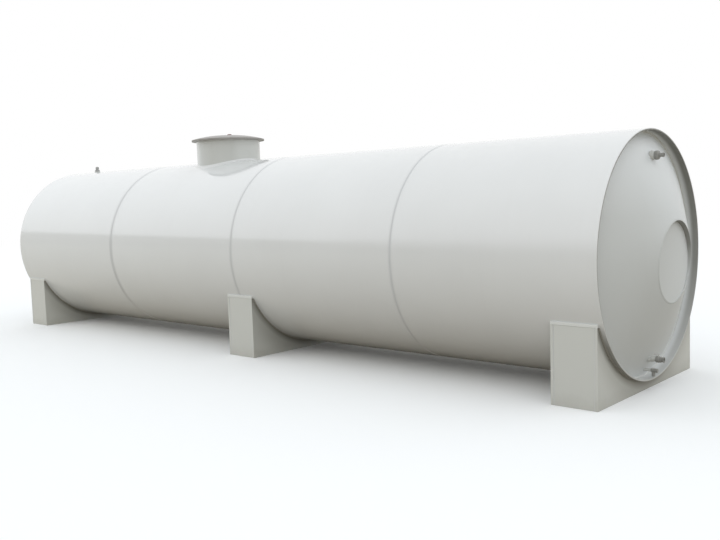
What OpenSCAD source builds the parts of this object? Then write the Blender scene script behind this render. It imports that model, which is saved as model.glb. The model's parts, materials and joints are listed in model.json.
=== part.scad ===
// Horizontal polypropylene storage tank on three box saddles.
// X runs along the tank, +X at the end with the fittings. Z is up, the floor is at Z = 0,
// and the origin is on the floor under the middle of the tank. All sizes are in millimetres.

/* [Shell] */
// Outside diameter of the shell
shell_d = 2000; // [1600:20:2600]
// Thickness of the shell sheet
shell_t = 15; // [8:1:30]
// Width of the course at the far end
course_1 = 2265; // [1500:5:3000]
// Width of the second course
course_2 = 2220; // [1500:5:3000]
// Width of the third course
course_3 = 2100; // [1500:5:3000]
// Width of the course at the near end
course_4 = 1885; // [1500:5:3000]

/* [Ends] */
// How far the shell stands out past the edge of each end cone
rim_depth = 100; // [40:5:160]
// Rise of the cone from its edge, measured along X, for each 1000 mm of radius
cone_rise = 421; // [200:1:600]
// Thickness of the cone sheet
cone_t = 15; // [8:1:30]
// Diameter of the round recess in the cone
recess_d = 644; // [300:2:900]
// How far the recess sits below the axis of the tank
recess_drop = 45; // [0:1:80]
// Depth of the recess, measured at its middle
recess_depth = 50; // [30:1:90]
// Thickness of the collar around the recess
collar_t = 12; // [6:1:25]
// Thickness of the disc that closes the recess
disc_t = 15; // [8:1:30]
// How far the fittings' pipes reach into the tank behind the cone
pipe_inset = 50; // [10:5:150]

/* [Saddles] */
// Height of the shell's lowest line above the floor
shell_lift = 75; // [55:1:200]
// Width of a saddle along the tank
saddle_w = 380; // [250:5:600]
// Distance from the shell's rim to the nearest saddle face
saddle_inset = 40; // [0:5:300]
// Height of a saddle, with its top strips
saddle_h = 640; // [450:5:760]
// Thickness of the saddle sheets
saddle_t = 25; // [12:1:40]
// How far the front and back sheets are set in from the edges of the side sheets
front_recess = 3; // [0:0.5:10]
// Width of the upright edge beyond the shell at the top of a saddle
saddle_edge = 10; // [4:1:40]
// Thickness of the strips on top of a saddle
strip_t = 25; // [12:1:40]
// Thickness of the sheet under a saddle
base_t = 20; // [10:1:40]

/* [Manhole] */
// Distance of the manhole from the weld between the second and third courses
manhole_x = 1160; // [600:5:1700]
// Outside diameter of the neck
neck_d = 740; // [400:5:900]
// Thickness of the neck wall
neck_t = 12; // [6:1:25]
// Height of the flange's underside above the top of the shell
neck_h = 241; // [120:1:500]
// How far the neck reaches into the tank below the shell sheet beside it
neck_inset = 35; // [5:5:150]
// Width of the flange outside the neck
flange_w = 56; // [20:1:120]
// Thickness of the flange
flange_t = 10; // [6:1:30]
// Thickness of the lid at its rim
lid_t = 8; // [4:1:30]
// Height by which the middle of the lid stands above its rim
lid_crown = 49; // [1:1:90]
// Width of the flat round the knob in the middle of the lid
lid_pad_edge = 20; // [5:1:60]
// Distance of the knob from the middle of the lid, towards the near end
knob_off = 30; // [-150:5:150]
// Diameter of the knob on the lid
knob_d = 54; // [30:1:100]
// Diameter of the knob's stem
knob_stem_d = 32; // [20:1:60]
// Height of the knob's stem
knob_stem_h = 4; // [2:1:60]
// Height of the knob's straight part above the stem
knob_head_h = 8; // [5:1:60]
// Height of the knob's sloping top
knob_top_h = 5; // [2:1:20]

/* [Vent] */
// Distance of the vent from the far edge of the shell
vent_x = 420; // [200:5:900]
// Outside diameter of the vent pipe
vent_pipe_d = 40; // [20:1:60]
// Thickness of the vent pipe wall
vent_pipe_t = 5; // [2:0.5:8]
// Thickness of the weld socket around the vent pipe
vent_socket_t = 20; // [8:1:50]
// Height of the weld socket above the top of the shell
vent_socket_h = 12; // [8:1:40]
// Thickness of the collar nut around the vent pipe
vent_collar_t = 11; // [5:1:30]
// Height of the collar nut
vent_collar_h = 27; // [15:1:50]
// How much wider the vent cap is than the vent pipe
vent_cap_lip = 6; // [2:1:40]
// Height of the vent cap
vent_cap_h = 40; // [20:1:80]
// How far the vent pipe reaches into the tank
vent_pipe_inset = 30; // [5:5:100]

/* [Upper nozzle] */
// Distance of the upper nozzle's middle from the inside of the shell
upper_gap = 198; // [120:1:400]
// Outside diameter of the nozzle pipe
upper_pipe_d = 63; // [40:1:90]
// Thickness of the nozzle pipe wall
upper_pipe_t = 6; // [3:0.5:10]
// Thickness of the union nut outside the nozzle pipe
upper_nut_t = 5; // [4:1:30]
// Width of the union nut
upper_nut_w = 35; // [20:1:60]
// Thickness of the tail's wall
upper_tail_t = 6; // [2:0.5:12]
// Length of the tail
upper_tail_l = 36; // [20:1:80]
// Bore of the tail
upper_tail_bore = 24; // [10:1:34]
// Distance of the union nut from the rim, along X
upper_nut_x = 16; // [0:1:60]

/* [Lower valve] */
// Distance of the lower valve's middle from the inside of the shell
lower_gap = 153; // [110:1:400]
// Outside diameter of the valve pipe
lower_pipe_d = 40; // [25:1:50]
// Thickness of the valve pipe wall
lower_pipe_t = 5; // [2:0.5:8]
// Outside diameter of the valve body
valve_d = 53; // [44:1:90]
// Length of the valve body
valve_l = 42; // [30:1:90]
// Thickness of the valve outlet's wall
outlet_t = 9; // [3:0.5:20]
// Length of the valve outlet
outlet_l = 23; // [15:1:80]
// Bore of the valve outlet
outlet_bore = 28; // [10:1:34]
// Distance of the valve body from the rim, along X
valve_x = 22; // [0:1:60]
// Length of the valve lever
lever_l = 44; // [30:1:120]
// Width of the valve lever
lever_w = 14; // [8:1:30]
// Thickness of the valve lever
lever_t = 7; // [4:1:15]
// Height of the lever stem above the valve body
lever_stem_h = 9; // [4:1:30]
// Diameter of the lever stem
lever_stem_d = 12; // [6:1:20]

/* [Drain] */
// Distance of the drain's middle from the inside of the shell
drain_gap = 60; // [50:1:80]
// Outside diameter of the drain pipe
drain_pipe_d = 25; // [16:1:32]
// Outside diameter of the drain elbow
drain_d = 32; // [27:1:40]
// Length of the drain elbow along X
drain_l = 52; // [40:1:90]
// Distance of the elbow's outer end from the rim, along X
drain_x = 34; // [10:1:60]
// Depth of the spout's end below the middle of the elbow
drain_spout_h = 48; // [25:1:52]
// Diameter of the spout
drain_spout_d = 28; // [18:1:30]
// Distance from the back of the elbow to the spout
drain_spout_gap = 4; // [0:1:20]

/* [Hidden] */
$fn = 240;

// Shell
shell_r = shell_d / 2;
bore_r = shell_r - shell_t;
shell_l = course_1 + course_2 + course_3 + course_4;
rim_x = shell_l / 2;
axis_z = shell_lift + shell_r;
top_z = axis_z + shell_r;
weld_1_x = course_1 - rim_x;
weld_2_x = weld_1_x + course_2;
weld_3_x = weld_2_x + course_3;

// Ends, measured from the rim of the shell
slope = cone_rise / 1000;
cone_edge_x = rim_x - rim_depth;
cone_tip_x = cone_edge_x + slope * bore_r;
cone_wall_x = cone_t * sqrt(1 + slope * slope);
recess_r = recess_d / 2;
collar_r = recess_r + collar_t;
recess_edge_x = cone_tip_x - slope * recess_r;
disc_face_x = recess_edge_x - recess_depth / 2;
collar_back_x = disc_face_x - disc_t;
recess_z = axis_z - recess_drop;

// Saddles: the sides are as deep as the shell is where the top strips meet it
strip_z = saddle_h - strip_t;
saddle_half = sqrt(shell_r * shell_r - pow(axis_z - saddle_h, 2)) + saddle_edge;
saddle_inner_half = saddle_half - front_recess - saddle_t;
near_saddle_x = rim_x - saddle_inset - saddle_w / 2;
middle_saddle_x = weld_2_x;
far_saddle_x = -near_saddle_x;

// Manhole and vent
neck_x = weld_2_x - manhole_x;
neck_r = neck_d / 2;
neck_bore_r = neck_r - neck_t;
neck_foot_z = axis_z + sqrt(bore_r * bore_r - neck_r * neck_r) - neck_inset;
flange_r = neck_r + flange_w;
flange_z = top_z + neck_h;
lid_z = flange_z + flange_t;
knob_z = lid_z + lid_crown + lid_t;
lid_pad_r = abs(knob_off) + knob_d / 2 + lid_pad_edge;
vent_pipe_x = vent_x - rim_x;
vent_collar_z = top_z + vent_socket_h;
vent_cap_z = vent_collar_z + vent_collar_h;
vent_pipe_r = vent_pipe_d / 2;
vent_foot_z = top_z - shell_t - vent_pipe_inset;

// Fittings, whose pipes pass through the cone
upper_pipe_z = axis_z + bore_r - upper_gap;
upper_pipe_r = upper_pipe_d / 2;
upper_nut_face_x = rim_x + upper_nut_x;
upper_tail_x = upper_nut_face_x + upper_nut_w;
lower_pipe_z = axis_z - bore_r + lower_gap;
lower_pipe_r = lower_pipe_d / 2;
valve_face_x = rim_x + valve_x;
outlet_x = valve_face_x + valve_l;
drain_pipe_z = axis_z - bore_r + drain_gap;
drain_end_x = rim_x + drain_x;
drain_back_x = drain_end_x - drain_l;
drain_spout_x = drain_back_x + drain_spout_gap + drain_spout_d / 2;

pale = "#e4e6e3";
end_grey = "#c3c8c8";
saddle_grey = "#b4b7b1";
fitting_dark = "#4a4845";
knob_red = "#5d2f2a";

// A cylinder along X from x0 to x1, on the line at height z
module along_x(x0, x1, r, z) {
    translate([x0, 0, z])
        rotate([0, 90, 0])
            cylinder(h = x1 - x0, r = r);
}

// A tube along X
module tube_x(x0, x1, r_out, r_in, z) {
    difference() {
        along_x(x0, x1, r_out, z);
        along_x(x0 - 1, x1 + 1, r_in, z);
    }
}

// A tube along Z
module tube_z(x, z0, z1, r_out, r_in) {
    translate([x, 0, z0])
        difference() {
            cylinder(h = z1 - z0, r = r_out);
            translate([0, 0, -1])
                cylinder(h = z1 - z0 + 2, r = r_in);
        }
}

// A piece at the far end is the near one seen in a mirror
module at_end(far) {
    mirror([far ? 1 : 0, 0, 0])
        children();
}

module shell_course(x0, x1) {
    color(pale)
        difference() {
            tube_x(x0, x1, shell_r, bore_r, axis_z);
            if (neck_x > x0 && neck_x < x1)
                translate([neck_x, 0, axis_z])
                    cylinder(h = shell_r + 1, r = neck_r);
            if (vent_pipe_x > x0 && vent_pipe_x < x1)
                translate([vent_pipe_x, 0, axis_z])
                    cylinder(h = shell_r + 1, r = vent_pipe_r);
        }
}

// The solid under the cone's outer face
module cone_body() {
    translate([0, 0, axis_z])
        rotate([0, 90, 0])
            rotate_extrude()
                polygon([[0, 0], [bore_r, 0], [bore_r, cone_edge_x], [0, cone_tip_x]]);
}

// The cone sheet runs to its tip here, and the hole for the recess takes the tip away
module end_cone(far) {
    color(end_grey)
        at_end(far)
            difference() {
                translate([0, 0, axis_z])
                    rotate([0, 90, 0])
                        rotate_extrude()
                            polygon([[0, cone_tip_x], [bore_r, cone_edge_x],
                                     [bore_r, cone_edge_x - cone_wall_x],
                                     [0, cone_tip_x - cone_wall_x]]);
                along_x(cone_edge_x - rim_depth, rim_x + rim_x, collar_r, recess_z);
                if (!far)
                    fitting_holes();
            }
}

// The cone is drilled where the three pipes pass through it
module fitting_holes() {
    along_x(cone_edge_x - rim_depth, rim_x + rim_depth, upper_pipe_r, upper_pipe_z);
    along_x(cone_edge_x - rim_depth, rim_x + rim_depth, lower_pipe_r, lower_pipe_z);
    along_x(cone_edge_x - rim_depth, rim_x + rim_depth, drain_pipe_d / 2, drain_pipe_z);
}

module end_collar(far) {
    color(end_grey)
        at_end(far)
            intersection() {
                tube_x(collar_back_x, cone_tip_x, collar_r, recess_r, recess_z);
                cone_body();
            }
}

module end_disc(far) {
    color(end_grey)
        at_end(far)
            along_x(collar_back_x, disc_face_x, recess_r, recess_z);
}

// A side sheet of a saddle, with the round seat for the shell cut out of it
module saddle_side(x) {
    color(saddle_grey)
        difference() {
            translate([x, -saddle_half, 0])
                cube([saddle_t, 2 * saddle_half, strip_z]);
            along_x(x - 1, x + saddle_t + 1, shell_r, axis_z);
        }
}

module saddle_outer_side(x) {
    saddle_side(x + saddle_w / 2 - saddle_t);
}

module saddle_inner_side(x) {
    saddle_side(x - saddle_w / 2);
}

// The front sheet fits between the side sheets, and the back sheet is its mirror image
module saddle_front(x) {
    color(saddle_grey)
        difference() {
            translate([x - saddle_w / 2 + saddle_t, -saddle_half + front_recess, 0])
                cube([saddle_w - 2 * saddle_t, saddle_t, strip_z]);
            along_x(x - saddle_w, x + saddle_w, shell_r, axis_z);
        }
}

module saddle_back(x) {
    mirror([0, 1, 0])
        saddle_front(x);
}

module saddle_base(x) {
    color(saddle_grey)
        translate([x - saddle_w / 2 + saddle_t, -saddle_inner_half, 0])
            cube([saddle_w - 2 * saddle_t, 2 * saddle_inner_half, base_t]);
}

// Two strips close the top of the box, one on each side of the shell
module saddle_strips(x) {
    color(pale)
        for (side = [0, 1])
            mirror([0, side, 0])
                difference() {
                    translate([x - saddle_w / 2, -saddle_half, strip_z])
                        cube([saddle_w, saddle_half - saddle_inner_half, strip_t]);
                    along_x(x - saddle_w, x + saddle_w, shell_r, axis_z);
                }
}

module manhole_neck() {
    color(pale)
        tube_z(neck_x, neck_foot_z, flange_z, neck_r, neck_bore_r);
}

module manhole_flange() {
    color(pale)
        tube_z(neck_x, flange_z, lid_z, flange_r, neck_bore_r);
}

// Height of the lid's top above its underside at radius r
function lid_top(r) = lid_t + lid_crown * (1 - pow((r - lid_pad_r) / (flange_r - lid_pad_r), 2));

// The lid is moulded in one: flat below, crowned above from its rim inwards, and flat in the middle
module manhole_lid() {
    steps = 10;
    radii = [for (i = [steps:-1:0]) lid_pad_r + (flange_r - lid_pad_r) * i / steps];
    crown = [for (r = radii) [r, lid_top(r)]];
    color(pale)
        translate([neck_x, 0, lid_z])
            rotate_extrude()
                polygon(concat(
                    [[0, 0], [flange_r, 0]],
                    crown,
                    [[0, lid_top(lid_pad_r)]]
                ));
}

// The knob is turned: a stem below, and a head with a sloping top above
module manhole_knob() {
    color(knob_red)
        translate([neck_x + knob_off, 0, knob_z]) {
            cylinder(h = knob_stem_h, d = knob_stem_d);
            translate([0, 0, knob_stem_h])
                cylinder(h = knob_head_h, d = knob_d);
            translate([0, 0, knob_stem_h + knob_head_h])
                cylinder(h = knob_top_h, d1 = knob_d, d2 = knob_stem_d);
        }
}

module vent_pipe() {
    color(pale)
        tube_z(vent_pipe_x, vent_foot_z, vent_cap_z, vent_pipe_r, vent_pipe_r - vent_pipe_t);
}

// The socket sits on the round shell, so its underside is cut to the shell
module vent_socket() {
    color(pale)
        difference() {
            tube_z(vent_pipe_x, top_z - shell_t, vent_collar_z, vent_pipe_r + vent_socket_t, vent_pipe_r);
            along_x(vent_pipe_x - vent_pipe_d - vent_socket_t, vent_pipe_x + vent_pipe_d + vent_socket_t,
                    shell_r, axis_z);
        }
}

module vent_collar() {
    color(fitting_dark)
        tube_z(vent_pipe_x, vent_collar_z, vent_cap_z, vent_pipe_r + vent_collar_t, vent_pipe_r);
}

module vent_cap() {
    color(fitting_dark)
        translate([vent_pipe_x, 0, vent_cap_z])
            cylinder(h = vent_cap_h, d = vent_pipe_d + vent_cap_lip);
}

// Where a pipe at height z starts, behind the face of the cone
function pipe_start(z) = cone_tip_x - slope * abs(z - axis_z) - cone_wall_x - pipe_inset;

module upper_nozzle_pipe() {
    color(pale)
        tube_x(pipe_start(upper_pipe_z), upper_nut_face_x,
               upper_pipe_r, upper_pipe_r - upper_pipe_t, upper_pipe_z);
}

module upper_nozzle_nut() {
    color(fitting_dark)
        tube_x(upper_nut_face_x, upper_tail_x,
               upper_pipe_r + upper_nut_t, upper_tail_bore / 2, upper_pipe_z);
}

module upper_nozzle_tail() {
    color(fitting_dark)
        tube_x(upper_tail_x, upper_tail_x + upper_tail_l,
               upper_tail_bore / 2 + upper_tail_t, upper_tail_bore / 2, upper_pipe_z);
}

module lower_valve_pipe() {
    color(pale)
        tube_x(pipe_start(lower_pipe_z), valve_face_x,
               lower_pipe_r, lower_pipe_r - lower_pipe_t, lower_pipe_z);
}

module lower_valve_body() {
    color(fitting_dark)
        along_x(valve_face_x, outlet_x, valve_d / 2, lower_pipe_z);
}

module lower_valve_outlet() {
    color(fitting_dark)
        tube_x(outlet_x, outlet_x + outlet_l,
               outlet_bore / 2 + outlet_t, outlet_bore / 2, lower_pipe_z);
}

// The lever lies along the pipe on a short stem that stands on the valve body
module lower_valve_lever() {
    stem_top_z = lower_pipe_z + valve_d / 2 + lever_stem_h;
    stem_x = valve_face_x + valve_l / 2;
    color(pale) {
        difference() {
            translate([stem_x, 0, lower_pipe_z])
                cylinder(h = stem_top_z - lower_pipe_z, d = lever_stem_d);
            along_x(valve_face_x - 1, outlet_x + 1, valve_d / 2, lower_pipe_z);
        }
        translate([stem_x + lever_stem_d / 2 - lever_l, -lever_w / 2, stem_top_z])
            cube([lever_l, lever_w, lever_t]);
    }
}

module drain_pipe() {
    color(pale)
        along_x(pipe_start(drain_pipe_z), drain_back_x, drain_pipe_d / 2, drain_pipe_z);
}

module drain_elbow() {
    color(fitting_dark)
        union() {
            along_x(drain_back_x, drain_end_x, drain_d / 2, drain_pipe_z);
            translate([drain_spout_x, 0, drain_pipe_z - drain_spout_h])
                cylinder(h = drain_spout_h, d = drain_spout_d);
        }
}

shell_course(-rim_x, weld_1_x);  // shell_course_1
shell_course(weld_1_x, weld_2_x);  // shell_course_2
shell_course(weld_2_x, weld_3_x);  // shell_course_3
shell_course(weld_3_x, rim_x);  // shell_course_4
end_cone(false);  // near_end_cone
end_collar(false);  // near_end_collar
end_disc(false);  // near_end_disc
end_cone(true);  // far_end_cone
end_collar(true);  // far_end_collar
end_disc(true);  // far_end_disc
saddle_outer_side(near_saddle_x);  // near_saddle_outer_side
saddle_inner_side(near_saddle_x);  // near_saddle_inner_side
saddle_front(near_saddle_x);  // near_saddle_front
saddle_back(near_saddle_x);  // near_saddle_back
saddle_base(near_saddle_x);  // near_saddle_base
saddle_strips(near_saddle_x);  // near_saddle_strips
saddle_outer_side(middle_saddle_x);  // middle_saddle_outer_side
saddle_inner_side(middle_saddle_x);  // middle_saddle_inner_side
saddle_front(middle_saddle_x);  // middle_saddle_front
saddle_back(middle_saddle_x);  // middle_saddle_back
saddle_base(middle_saddle_x);  // middle_saddle_base
saddle_strips(middle_saddle_x);  // middle_saddle_strips
saddle_inner_side(far_saddle_x);  // far_saddle_outer_side
saddle_outer_side(far_saddle_x);  // far_saddle_inner_side
saddle_front(far_saddle_x);  // far_saddle_front
saddle_back(far_saddle_x);  // far_saddle_back
saddle_base(far_saddle_x);  // far_saddle_base
saddle_strips(far_saddle_x);  // far_saddle_strips
manhole_neck();
manhole_flange();
manhole_lid();
manhole_knob();
vent_pipe();
vent_socket();
vent_collar();
vent_cap();
upper_nozzle_pipe();
upper_nozzle_nut();
upper_nozzle_tail();
lower_valve_pipe();
lower_valve_body();
lower_valve_outlet();
lower_valve_lever();
drain_pipe();
drain_elbow();
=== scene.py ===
import bmesh
import bpy
import json
import math
from mathutils import Matrix, Vector

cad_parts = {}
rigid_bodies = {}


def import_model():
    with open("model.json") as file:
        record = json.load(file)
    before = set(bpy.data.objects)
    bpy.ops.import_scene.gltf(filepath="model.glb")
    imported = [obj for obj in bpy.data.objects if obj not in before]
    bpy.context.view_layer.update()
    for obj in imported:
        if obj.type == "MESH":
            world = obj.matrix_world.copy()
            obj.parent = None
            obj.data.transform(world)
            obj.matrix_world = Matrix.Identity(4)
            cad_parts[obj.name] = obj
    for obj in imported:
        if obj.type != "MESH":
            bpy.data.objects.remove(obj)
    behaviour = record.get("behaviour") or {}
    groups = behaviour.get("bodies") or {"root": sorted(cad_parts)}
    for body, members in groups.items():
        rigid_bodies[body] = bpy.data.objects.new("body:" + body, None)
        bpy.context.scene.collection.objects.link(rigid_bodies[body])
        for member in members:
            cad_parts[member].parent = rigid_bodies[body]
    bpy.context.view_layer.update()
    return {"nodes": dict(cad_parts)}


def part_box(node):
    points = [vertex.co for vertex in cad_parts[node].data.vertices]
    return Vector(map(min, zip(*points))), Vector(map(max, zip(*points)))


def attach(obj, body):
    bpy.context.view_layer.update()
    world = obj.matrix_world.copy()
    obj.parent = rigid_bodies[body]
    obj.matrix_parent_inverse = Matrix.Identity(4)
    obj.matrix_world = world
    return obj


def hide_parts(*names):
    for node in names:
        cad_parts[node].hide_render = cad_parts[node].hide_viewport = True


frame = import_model()
scene = bpy.context.scene

# ---------------------------------------------------------------------------
# The camera stands past the near end, off to one side of the tank, at the eye height of a
# standing person. It looks along the whole side and just into the near end.
near_rim_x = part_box("shell_course_4")[1].x
eye_past_rim, eye_aside, eye_height = 2.621, -6.451, 1.617
eye = Vector((near_rim_x + eye_past_rim, eye_aside, eye_height))
look_turn, look_down, camera_tilt = (math.radians(a) for a in (41.64, 5.07, -1.87))
camera_data = bpy.data.cameras.new("camera")
camera_data.sensor_width = 36.0
camera_data.lens = 41.54
camera_data.clip_end = 400.0
camera = bpy.data.objects.new("camera", camera_data)
camera.matrix_world = (
    Matrix.Translation(eye)
    @ Matrix.Rotation(look_turn, 4, "Z")
    @ Matrix.Rotation(math.radians(90) - look_down, 4, "X")
    @ Matrix.Rotation(camera_tilt, 4, "Z")
)
scene.collection.objects.link(camera)
scene.camera = camera

# ---------------------------------------------------------------------------
# The light is that of an even, bright, slightly cool sky, a little brighter low down and on
# the camera's side. The camera sees pure white in its place. So does a gloss, except low
# down, where it meets the warm grey edge of a yard.
sky_low = (1.17, 1.195, 1.205)
sky_high = (0.92, 0.96, 0.985)
front_light = 0.08
# The yard's edge is sharp beyond the tank's ends, soft straight out in front and pale behind.
yard_behind = (0.92, 0.92, 0.90)
yard_beyond = (0.43, 0.41, 0.37)
yard_in_front = (0.44, 0.42, 0.375)
yard_edge_rise = 0.155
yard_edge_blur = (0.012, 0.19)
in_front_span = (-0.62, -0.88)
behind_span = (-0.42, -0.1)


def shader_node(tree, kind, **values):
    """Adds a node. A value that is a socket is linked, any other is set on the input or the node."""
    node = tree.nodes.new(kind)
    for key, value in values.items():
        if key[0] == "i" and key[1:].isdigit():
            target = node.inputs[int(key[1:])]
        else:
            target = node.inputs.get(key.replace("_", " "))
        if target is None:
            setattr(node, key, value)
        elif isinstance(value, bpy.types.NodeSocket):
            tree.links.new(value, target)
        else:
            target.default_value = value
    return node


def seen_directly(tree):
    """1 for what the camera, a gloss or clear stuff sees, and 0 for the light that falls on things."""
    path = shader_node(tree, "ShaderNodeLightPath")
    either = shader_node(tree, "ShaderNodeMath", operation="MAXIMUM",
                         i0=path.outputs["Is Camera Ray"], i1=path.outputs["Is Glossy Ray"])
    return shader_node(tree, "ShaderNodeMath", operation="MAXIMUM",
                       i0=either.outputs[0], i1=path.outputs["Is Transmission Ray"]).outputs[0]


world = bpy.data.worlds.new("studio_sky")
world.use_nodes = True
scene.world = world
sky = world.node_tree
sky.nodes.clear()
sky_way = shader_node(sky, "ShaderNodeTexCoord").outputs["Generated"]
sky_way = shader_node(sky, "ShaderNodeSeparateXYZ", Vector=sky_way).outputs
sky_rise = shader_node(sky, "ShaderNodeMath", operation="ABSOLUTE", i0=sky_way["Z"]).outputs[0]
sky_tone = shader_node(sky, "ShaderNodeMix", data_type="RGBA", i0=sky_rise,
                       i6=(*sky_low, 1.0), i7=(*sky_high, 1.0)).outputs[2]
sky_power = shader_node(sky, "ShaderNodeMath", operation="MULTIPLY_ADD", i0=sky_way["Y"],
                        i1=-front_light, i2=1.0).outputs[0]
sky_light = shader_node(sky, "ShaderNodeBackground", Color=sky_tone, Strength=sky_power)
in_front = shader_node(sky, "ShaderNodeMapRange", interpolation_type="SMOOTHSTEP", Value=sky_way["Y"],
                       From_Min=in_front_span[0], From_Max=in_front_span[1]).outputs[0]
blur = shader_node(sky, "ShaderNodeMix", i0=in_front, i2=yard_edge_blur[0], i3=yard_edge_blur[1]).outputs[0]
lower_edge, upper_edge = (
    shader_node(sky, "ShaderNodeMath", operation="MULTIPLY_ADD", i0=blur, i1=way,
                i2=yard_edge_rise).outputs[0] for way in (-1.0, 1.0))
above_yard = shader_node(sky, "ShaderNodeMapRange", interpolation_type="SMOOTHSTEP", Value=sky_rise,
                         From_Min=lower_edge, From_Max=upper_edge).outputs[0]
clear = shader_node(sky, "ShaderNodeMath", operation="MAXIMUM", i0=above_yard,
                    i1=shader_node(sky, "ShaderNodeLightPath").outputs["Is Camera Ray"]).outputs[0]
behind = shader_node(sky, "ShaderNodeMapRange", interpolation_type="SMOOTHSTEP", Value=sky_way["Y"],
                     From_Min=behind_span[0], From_Max=behind_span[1]).outputs[0]
yard = shader_node(sky, "ShaderNodeMix", data_type="RGBA", i0=in_front, i6=(*yard_beyond, 1.0),
                   i7=(*yard_in_front, 1.0)).outputs[2]
yard = shader_node(sky, "ShaderNodeMix", data_type="RGBA", i0=behind, i6=yard,
                   i7=(*yard_behind, 1.0)).outputs[2]
white = shader_node(sky, "ShaderNodeMix", data_type="RGBA", i0=clear, i6=yard,
                    i7=(1.0, 1.0, 1.0, 1.0)).outputs[2]
sky_white = shader_node(sky, "ShaderNodeBackground", Color=white, Strength=1.0)
sky_mix = shader_node(sky, "ShaderNodeMixShader", i0=seen_directly(sky),
                      i1=sky_light.outputs[0], i2=sky_white.outputs[0])
shader_node(sky, "ShaderNodeOutputWorld", Surface=sky_mix.outputs[0])

scene.view_settings.view_transform = "Standard"

# ---------------------------------------------------------------------------
# The floor is a wide pale sheet that takes the tank's soft shadow. Away from the tank it
# goes over into the white behind it, much farther off in a gloss than to the eye. The
# light it throws back is that of a warm grey, which is darker under the near end.
floor_radius = 180.0
floor_bounce = (0.335, 0.297, 0.235)
floor_bounce_far = (0.50, 0.455, 0.375)
floor_bounce_span = (2.0, -4.0)
floor_in_gloss = (0.53, 0.50, 0.44)
floor_fade = (14.0, 32.0)
floor_fade_in_gloss = (90.0, 175.0)

floor_mesh = bpy.data.meshes.new("floor")
shape = bmesh.new()
bmesh.ops.create_circle(shape, cap_ends=True, segments=96, radius=floor_radius)
shape.to_mesh(floor_mesh)
shape.free()
floor = bpy.data.objects.new("floor", floor_mesh)
scene.collection.objects.link(floor)
floor_paint = bpy.data.materials.new("floor_paint")
floor_paint.use_nodes = True
paint = floor_paint.node_tree
paint.nodes.clear()
ray = shader_node(paint, "ShaderNodeLightPath").outputs
camera_ray = ray["Is Camera Ray"]
where = shader_node(paint, "ShaderNodeTexCoord").outputs["Object"]
along = shader_node(paint, "ShaderNodeSeparateXYZ", Vector=where).outputs["X"]
farther = shader_node(paint, "ShaderNodeMapRange", Value=along, From_Min=floor_bounce_span[0],
                      From_Max=floor_bounce_span[1]).outputs[0]
floor_tone = shader_node(paint, "ShaderNodeMix", data_type="RGBA", i0=farther,
                         i6=(*floor_bounce, 1.0), i7=(*floor_bounce_far, 1.0))
floor_tone = shader_node(paint, "ShaderNodeMix", data_type="RGBA", i0=ray["Is Glossy Ray"],
                         i6=floor_tone.outputs[2], i7=(*floor_in_gloss, 1.0))
floor_tone = shader_node(paint, "ShaderNodeMix", data_type="RGBA", i0=camera_ray,
                         i6=floor_tone.outputs[2], i7=(1.0, 1.0, 1.0, 1.0))
floor_lit = shader_node(paint, "ShaderNodeBsdfDiffuse", Color=floor_tone.outputs[2])
floor_white = shader_node(paint, "ShaderNodeEmission", Strength=1.0)
far_off = shader_node(paint, "ShaderNodeVectorMath", operation="LENGTH", i0=where).outputs["Value"]
fade_start, fade_end = (
    shader_node(paint, "ShaderNodeMix", i0=camera_ray, i2=in_gloss, i3=direct).outputs[0]
    for in_gloss, direct in zip(floor_fade_in_gloss, floor_fade))
fade = shader_node(paint, "ShaderNodeMapRange", interpolation_type="SMOOTHSTEP", Value=far_off,
                   From_Min=fade_start, From_Max=fade_end).outputs[0]
whiten = shader_node(paint, "ShaderNodeMath", operation="MULTIPLY", i0=fade,
                     i1=seen_directly(paint)).outputs[0]
floor_mix = shader_node(paint, "ShaderNodeMixShader", i0=whiten,
                        i1=floor_lit.outputs[0], i2=floor_white.outputs[0])
shader_node(paint, "ShaderNodeOutputMaterial", Surface=floor_mix.outputs[0])
floor_mesh.materials.append(floor_paint)

# ---------------------------------------------------------------------------
# The shell is four courses of welded polypropylene sheet, each a plain ring. Their free
# edges are scraped round, and the edges that meet are cut back to take the weld. Dirt has
# settled beside the welds. Shade is painted into the colour inside the lip past each end and
# on the shell low down above the end saddles, and the sheet is painted paler towards the far end as painted
# light.
shell_low, shell_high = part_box("shell_course_1")
shell_radius = (shell_high.z - shell_low.z) / 2
axis_z = (shell_high.z + shell_low.z) / 2
bore_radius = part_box("near_end_cone")[1].y
sheet = shell_radius - bore_radius
neck_low, neck_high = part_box("manhole_neck")
neck_x = (neck_low.x + neck_high.x) / 2
neck_radius = (neck_high.x - neck_low.x) / 2
weld_cut = 0.0125
edge_round = 0.004
round_steps = 400
shell_tone = (0.735, 0.745, 0.745)
# Painted light: a paler, cooler colour that sheet surfaces go over into where they should look more brightly
# lit.
painted_light_tone = (0.855, 0.885, 0.905)
run_tone = (0.42, 0.405, 0.36)
splash_tone = (0.29, 0.265, 0.215)
splash_height = 0.13
dust_tone = (0.52, 0.50, 0.45)
# Painted contact shade, together with dirt, for the saddle cradles.
cradle_shade_and_dirt_tone = (0.12, 0.11, 0.085)
seam_dirt = (0.455, 0.46, 0.465)
# The next three tones are painted shade: inside the lip, on the shell low down above the end saddles, and on
# undersides in the end pockets.
lip_shade_tone = (0.15, 0.145, 0.12)
saddle_top_shade_tone = (0.13, 0.12, 0.095)
underside_shade_tone = (0.15, 0.145, 0.125)
polish_index = 2.1


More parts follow.
